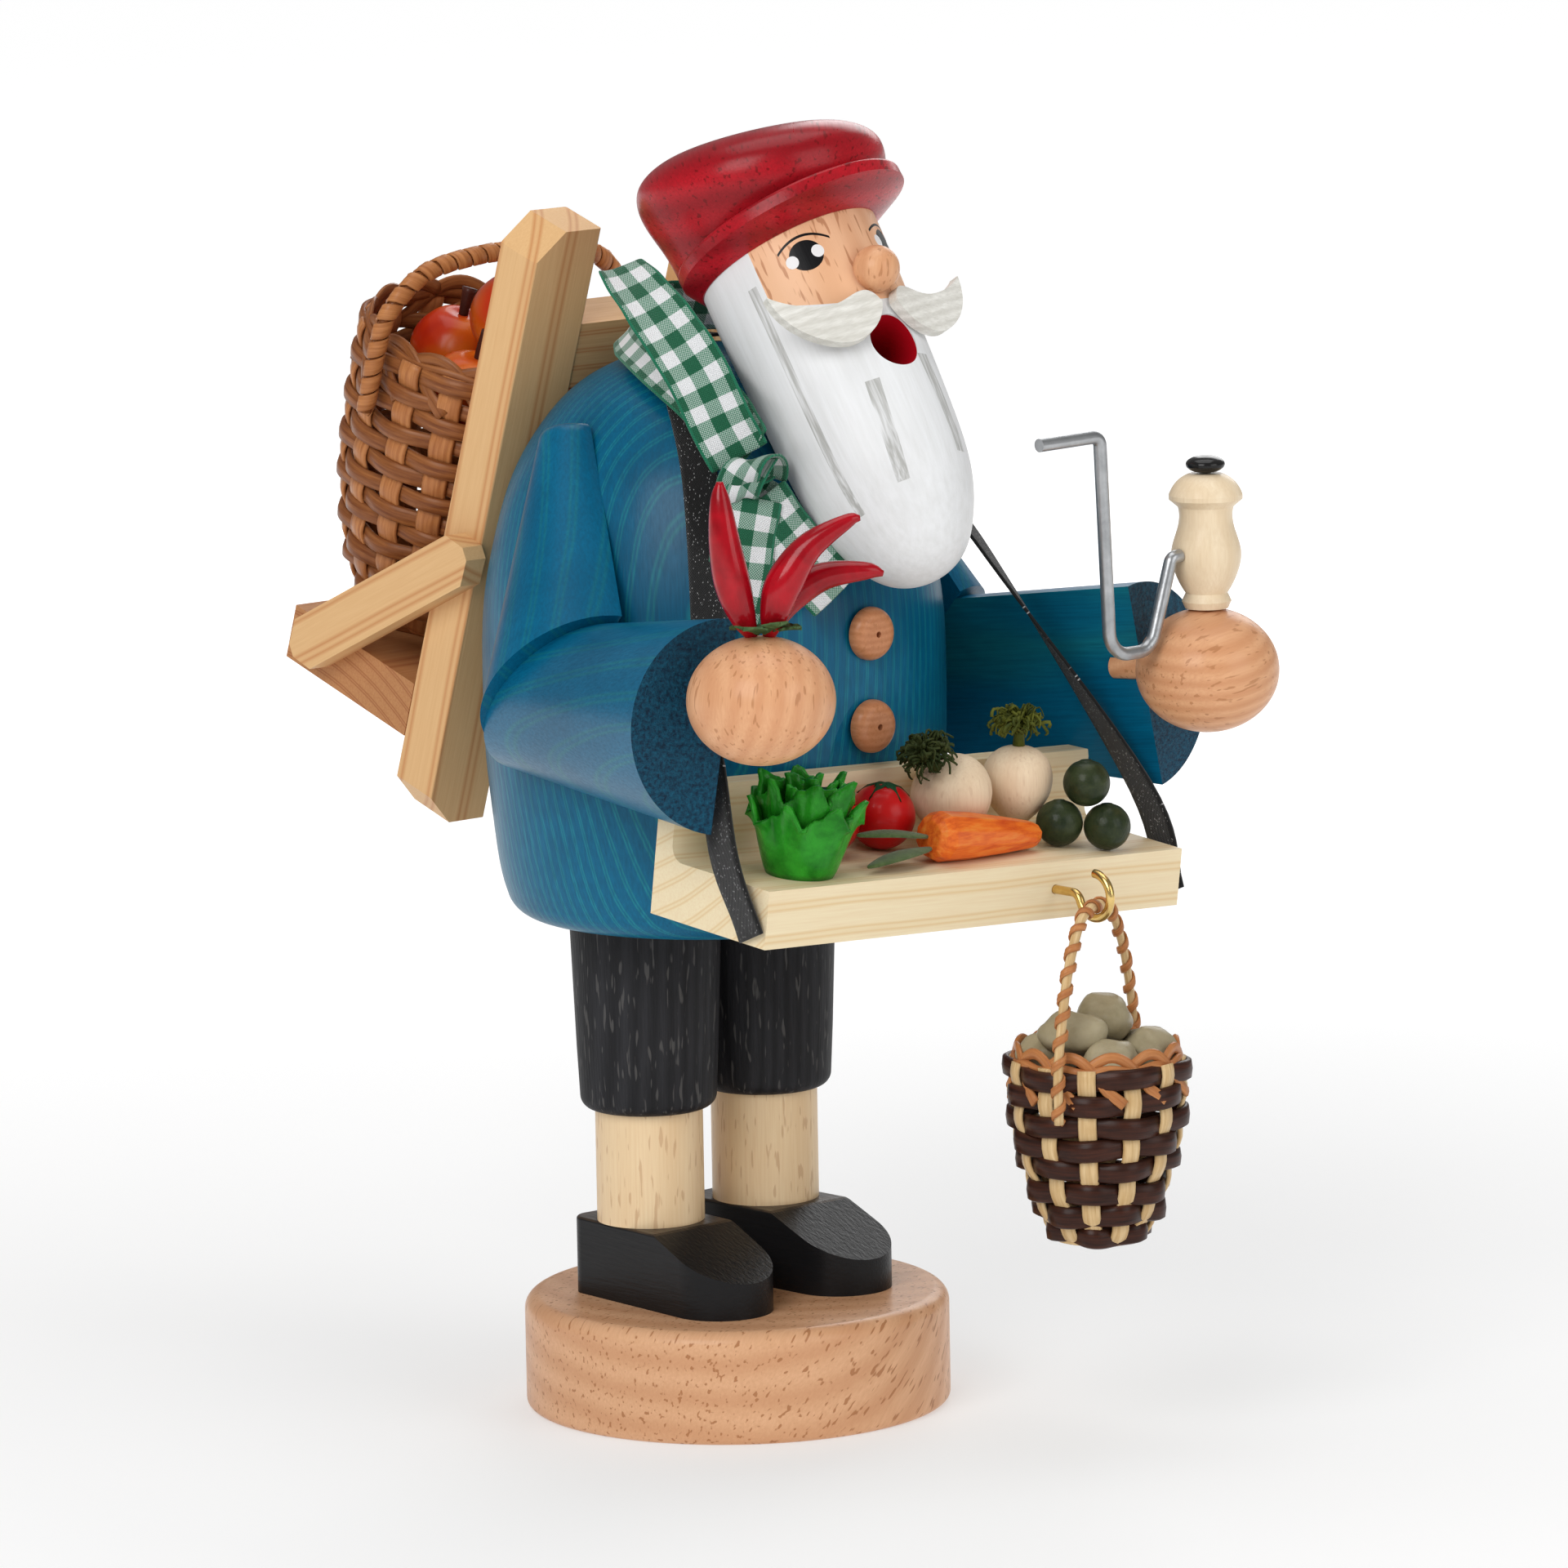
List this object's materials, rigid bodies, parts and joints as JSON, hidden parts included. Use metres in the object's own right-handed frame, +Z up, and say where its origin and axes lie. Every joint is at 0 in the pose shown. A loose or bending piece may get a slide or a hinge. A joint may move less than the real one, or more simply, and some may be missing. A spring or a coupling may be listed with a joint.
{
  "type": "incense smoker figurine",
  "caption": "Turned and carved wooden incense smoker: bearded vegetable seller with neck tray, pipe, hanging basket and a carrying frame with a basket on the back",
  "frame": {"origin": "centre of the round base's underside", "axes": "+Z up; the figure faces -Y; the figure's left hand is on +X"},
  "size_m": [0.1206, 0.1671, 0.2066],
  "materials": {
    "beech_base": "clear lacquered turned beech",
    "black_shoe": "black semi-gloss lacquer",
    "pale_leg": "pale lacquered beech dowel",
    "charcoal_stain": "charcoal stain, matt",
    "brass_plate": "stamped brass",
    "zinc_wire": "bright zinc-plated wire",
    "blue_stain": "teal-blue stain, satin",
    "beech_skin": "clear lacquered beech",
    "painted_head": "beech face with painted white beard and hair",
    "white_moustache": "white wash on thin wood",
    "red_stain": "red stain, satin",
    "dark_button": "glossy beech",
    "gingham_ribbon": "woven green and white check ribbon",
    "black_ribbon": "woven black ribbon",
    "pine": "clear lacquered pine",
    "brass_hook": "bright brass",
    "cream_turned": "polished pale wood",
    "black_gloss": "black gloss",
    "red_chili": "glossy",
    "leaf_green": "painted",
    "tomato_red": "red gloss paint",
    "turnip": "bare pale turned wood",
    "dry_greens": "fibrous",
    "carrot_orange": "painted",
    "sprout_green": "dark green paint",
    "brown_wicker": "woven cane",
    "pale_wicker": "bound cane",
    "apple_red": "red gloss paint",
    "dark_stem": "matt",
    "potato": "matt paint"
  },
  "bodies": {
    "stand": {"base_disc": "beech_base", "shoe_right": "black_shoe", "shoe_left": "black_shoe", "leg_right": "pale_leg", "leg_left": "pale_leg", "trouser_right": "charcoal_stain", "trouser_left": "charcoal_stain", "waist_plug": "charcoal_stain", "incense_plate": "brass_plate", "plate_nail": "zinc_wire"},
    "figure": {"torso": "blue_stain", "upper_arm_right": "blue_stain", "upper_arm_left": "blue_stain", "forearm_right": "blue_stain", "forearm_left": "blue_stain", "hand_right": "beech_skin", "hand_left": "beech_skin", "head": "painted_head", "nose": "beech_skin", "moustache_right": "white_moustache", "moustache_left": "white_moustache", "cap_crown": "red_stain", "cap_brim": "red_stain", "button_upper": "dark_button", "button_lower": "dark_button", "scarf": "gingham_ribbon", "tray_strap": "black_ribbon", "tray": "pine", "tray_hook": "brass_hook", "pipe_bowl": "cream_turned", "pipe_lid_knob": "black_gloss", "pipe_stem": "zinc_wire", "chilies": "red_chili", "chili_leaves": "leaf_green", "lettuce": "leaf_green", "tomatoes": "tomato_red", "turnips": "turnip", "turnip_greens": "dry_greens", "carrot": "carrot_orange", "carrot_leaves": "leaf_green", "sprouts": "sprout_green", "frame_rail_right": "pine", "frame_rail_left": "pine", "frame_crossbar": "pine", "frame_shelf": "pine", "frame_brace_right": "pine", "frame_brace_left": "pine", "apple_basket": "brown_wicker", "apple_basket_handle": "brown_wicker", "apples": "apple_red", "apple_stems": "dark_stem"},
    "potato_basket": {"potato_basket": "brown_wicker", "potato_basket_handle": "pale_wicker", "potatoes": "potato"}
  },
  "joints": [
    {"name": "figure_lift", "type": "slide", "parent": "stand", "child": "figure", "axis": [0, 0, 1], "range_m": [0, 0.045]},
    {"name": "potato_basket_swing", "type": "hinge", "parent": "figure", "child": "potato_basket", "pos_m": [0.01659, -0.06722, 0.08415], "axis": [0, 1, 0], "range_deg": [-30, 30]}
  ]
}
